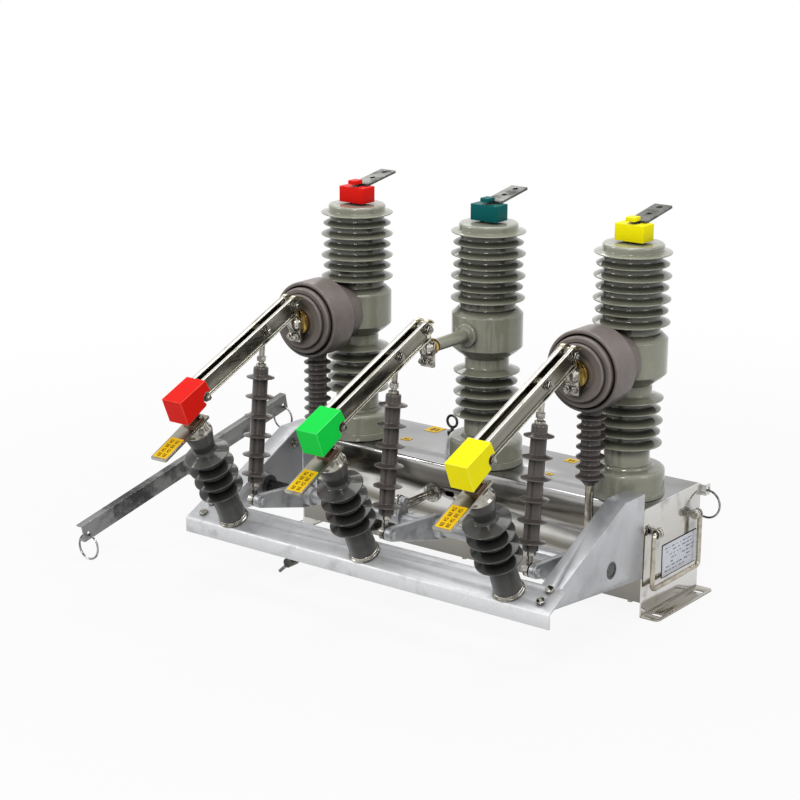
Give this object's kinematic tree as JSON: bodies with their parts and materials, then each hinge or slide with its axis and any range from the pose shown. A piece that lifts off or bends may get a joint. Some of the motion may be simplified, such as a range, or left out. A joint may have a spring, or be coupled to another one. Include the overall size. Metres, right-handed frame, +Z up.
{
  "type": "outdoor vacuum circuit breaker",
  "caption": "Three-pole outdoor vacuum circuit breaker with ribbed insulating poles on a steel tank, current transformers and a front knife isolator with coloured tip covers.",
  "frame": {"origin": "centre of the four foot slots, on the underside of the feet", "axes": "+X along the row of poles towards the yellow phase, -Y towards the isolator, +Z up"},
  "size_m": [1.1656, 0.7853, 0.7859],
  "materials": {
    "cast_resin": "cast epoxy resin, grey-green, semi-gloss",
    "transformer_resin": "cast resin, warm grey, satin",
    "bushing_rubber": "silicone rubber, dark brown",
    "post_rubber": "silicone rubber, near black",
    "stainless": "polished stainless sheet",
    "galvanised": "hot-dip galvanised steel",
    "dark_galvanised": "weathered galvanised steel",
    "blade_metal": "tin-plated copper",
    "contact_metal": "tin-plated copper alloy casting",
    "brass": "bare brass",
    "terminal_metal": "tin-plated bar",
    "red_plastic": "moulded plastic, red",
    "green_plastic": "moulded plastic, green",
    "teal_plastic": "moulded plastic, teal",
    "yellow_plastic": "moulded plastic, yellow",
    "fastener_steel": "zinc-plated steel",
    "bush_plastic": "black bush",
    "ceramic": "alumina ceramic",
    "drive_steel": "steel, oiled",
    "black_steel": "steel, black"
  },
  "bodies": {
    "frame": {"pole_left": "cast_resin", "interrupter_left": "ceramic", "conductor_left": "brass", "top_terminal_left": "terminal_metal", "hinge_left": "contact_metal", "jaw_left": "contact_metal", "post_left": "post_rubber", "pole_middle": "cast_resin", "interrupter_middle": "ceramic", "conductor_middle": "brass", "top_terminal_middle": "terminal_metal", "hinge_middle": "contact_metal", "jaw_middle": "contact_metal", "post_middle": "post_rubber", "pole_right": "cast_resin", "interrupter_right": "ceramic", "conductor_right": "brass", "top_terminal_right": "terminal_metal", "hinge_right": "contact_metal", "jaw_right": "contact_metal", "post_right": "post_rubber", "top_cap_left": "red_plastic", "top_cap_middle": "teal_plastic", "top_cap_right": "yellow_plastic", "ct_left": "transformer_resin", "ct_right": "transformer_resin", "ct_bushings": "bushing_rubber", "ct_conduits": "stainless", "tank_shell": "stainless", "bottom_cover": "stainless", "end_plate_left": "stainless", "end_plate_right": "stainless", "front_beam": "galvanised", "bracket_left": "galvanised", "bracket_right": "galvanised", "frame_bolts": "fastener_steel", "shaft_bushes": "bush_plastic", "mechanism_frame": "drive_steel"},
    "isolator_shaft": {"isolator_shaft": "galvanised", "hand_lever": "dark_galvanised"},
    "lever_ring_front": {"lever_ring_front": "fastener_steel"},
    "lever_ring_rear": {"lever_ring_rear": "fastener_steel"},
    "interlock_rod": {"interlock_rod": "drive_steel"},
    "trip_shaft": {"trip_shaft": "black_steel"},
    "main_shaft": {"main_shaft": "drive_steel"},
    "handle_left": {"handle_left": "black_steel"},
    "handle_right": {"handle_right": "black_steel"},
    "pull_ring": {"pull_ring": "fastener_steel"},
    "drive_rod_left": {"drive_rod_left": "drive_steel"},
    "blade_left": {"blade_left": "blade_metal", "blade_cover_left": "red_plastic"},
    "pull_rod_left": {"pull_rod_left": "bushing_rubber"},
    "drive_rod_middle": {"drive_rod_middle": "drive_steel"},
    "blade_middle": {"blade_middle": "blade_metal", "blade_cover_middle": "green_plastic"},
    "pull_rod_middle": {"pull_rod_middle": "bushing_rubber"},
    "drive_rod_right": {"drive_rod_right": "drive_steel"},
    "blade_right": {"blade_right": "blade_metal", "blade_cover_right": "yellow_plastic"},
    "pull_rod_right": {"pull_rod_right": "bushing_rubber"}
  },
  "joints": [
    {"name": "isolator_turn", "type": "hinge", "parent": "frame", "child": "isolator_shaft", "pos_m": [0, -0.227, 0.133], "axis": [1, 0, 0], "range_deg": [-24, 0]},
    {"name": "blade_turn_left", "type": "hinge", "parent": "frame", "child": "blade_left", "pos_m": [-0.34, -0.254, 0.548], "axis": [1, 0, 0], "range_deg": [-38.2, 0]},
    {"name": "blade_turn_middle", "type": "hinge", "parent": "frame", "child": "blade_middle", "pos_m": [0, -0.254, 0.548], "axis": [1, 0, 0], "range_deg": [-38.2, 0]},
    {"name": "blade_turn_right", "type": "hinge", "parent": "frame", "child": "blade_right", "pos_m": [0.34, -0.254, 0.548], "axis": [1, 0, 0], "range_deg": [-38.2, 0]},
    {"name": "pull_rod_turn_left", "type": "hinge", "parent": "blade_left", "child": "pull_rod_left", "pos_m": [-0.34, -0.34065, 0.51157], "axis": [1, 0, 0], "range_deg": [0, 42.9]},
    {"name": "pull_rod_turn_middle", "type": "hinge", "parent": "blade_middle", "child": "pull_rod_middle", "pos_m": [0, -0.34065, 0.51157], "axis": [1, 0, 0], "range_deg": [0, 42.9]},
    {"name": "pull_rod_turn_right", "type": "hinge", "parent": "blade_right", "child": "pull_rod_right", "pos_m": [0.34, -0.34065, 0.51157], "axis": [1, 0, 0], "range_deg": [0, 42.9]},
    {"name": "interlock_slide", "type": "slide", "parent": "frame", "child": "interlock_rod", "axis": [0, 1, 0], "range_m": [0, 0.01605]},
    {"name": "lever_ring_swing_front", "type": "hinge", "parent": "isolator_shaft", "child": "lever_ring_front", "pos_m": [-0.6635, -0.53859, 0.05754], "axis": [1, 0, 0], "range_deg": [-45, 45]},
    {"name": "lever_ring_swing_rear", "type": "hinge", "parent": "isolator_shaft", "child": "lever_ring_rear", "pos_m": [-0.6635, 0.09649, 0.19601], "axis": [1, 0, 0], "range_deg": [-45, 45]},
    {"name": "main_turn", "type": "hinge", "parent": "frame", "child": "main_shaft", "pos_m": [0, 0.012, 0.2], "axis": [1, 0, 0], "range_deg": [0, 12]},
    {"name": "drive_slide_left", "type": "slide", "parent": "frame", "child": "drive_rod_left", "axis": [0, 0, 1], "range_m": [-0.0093, 0]},
    {"name": "drive_slide_middle", "type": "slide", "parent": "frame", "child": "drive_rod_middle", "axis": [0, 0, 1], "range_m": [-0.0093, 0]},
    {"name": "drive_slide_right", "type": "slide", "parent": "frame", "child": "drive_rod_right", "axis": [0, 0, 1], "range_m": [-0.0093, 0]},
    {"name": "trip_turn", "type": "hinge", "parent": "frame", "child": "trip_shaft", "pos_m": [-0.236, -0.2, 0.048], "axis": [0, 1, 0], "range_deg": [-30, 30], "stiffness_Nm_per_rad": 0.5},
    {"name": "handle_swing_right", "type": "hinge", "parent": "frame", "child": "handle_right", "pos_m": [0.446, 0, 0.171], "axis": [0, 1, 0], "range_deg": [-90, 0]},
    {"name": "handle_swing_left", "type": "hinge", "parent": "frame", "child": "handle_left", "pos_m": [-0.446, 0, 0.171], "axis": [0, 1, 0], "range_deg": [0, 90]},
    {"name": "pull_ring_swing", "type": "hinge", "parent": "frame", "child": "pull_ring", "pos_m": [0.4415, 0.121, 0.2066], "axis": [1, 0, 0], "range_deg": [-5, 80]}
  ],
  "couplings": [
    {"joint": "blade_turn_left", "follows": "isolator_turn", "ratio": 1.5901},
    {"joint": "blade_turn_middle", "follows": "isolator_turn", "ratio": 1.5901},
    {"joint": "blade_turn_right", "follows": "isolator_turn", "ratio": 1.5901},
    {"joint": "pull_rod_turn_left", "follows": "isolator_turn", "ratio": -1.7834},
    {"joint": "pull_rod_turn_middle", "follows": "isolator_turn", "ratio": -1.7834},
    {"joint": "pull_rod_turn_right", "follows": "isolator_turn", "ratio": -1.7834},
    {"joint": "interlock_slide", "follows": "isolator_turn", "m_per_rad": -0.0382},
    {"joint": "drive_slide_left", "follows": "main_turn", "m_per_rad": -0.0437},
    {"joint": "drive_slide_middle", "follows": "main_turn", "m_per_rad": -0.0437},
    {"joint": "drive_slide_right", "follows": "main_turn", "m_per_rad": -0.0437}
  ]
}
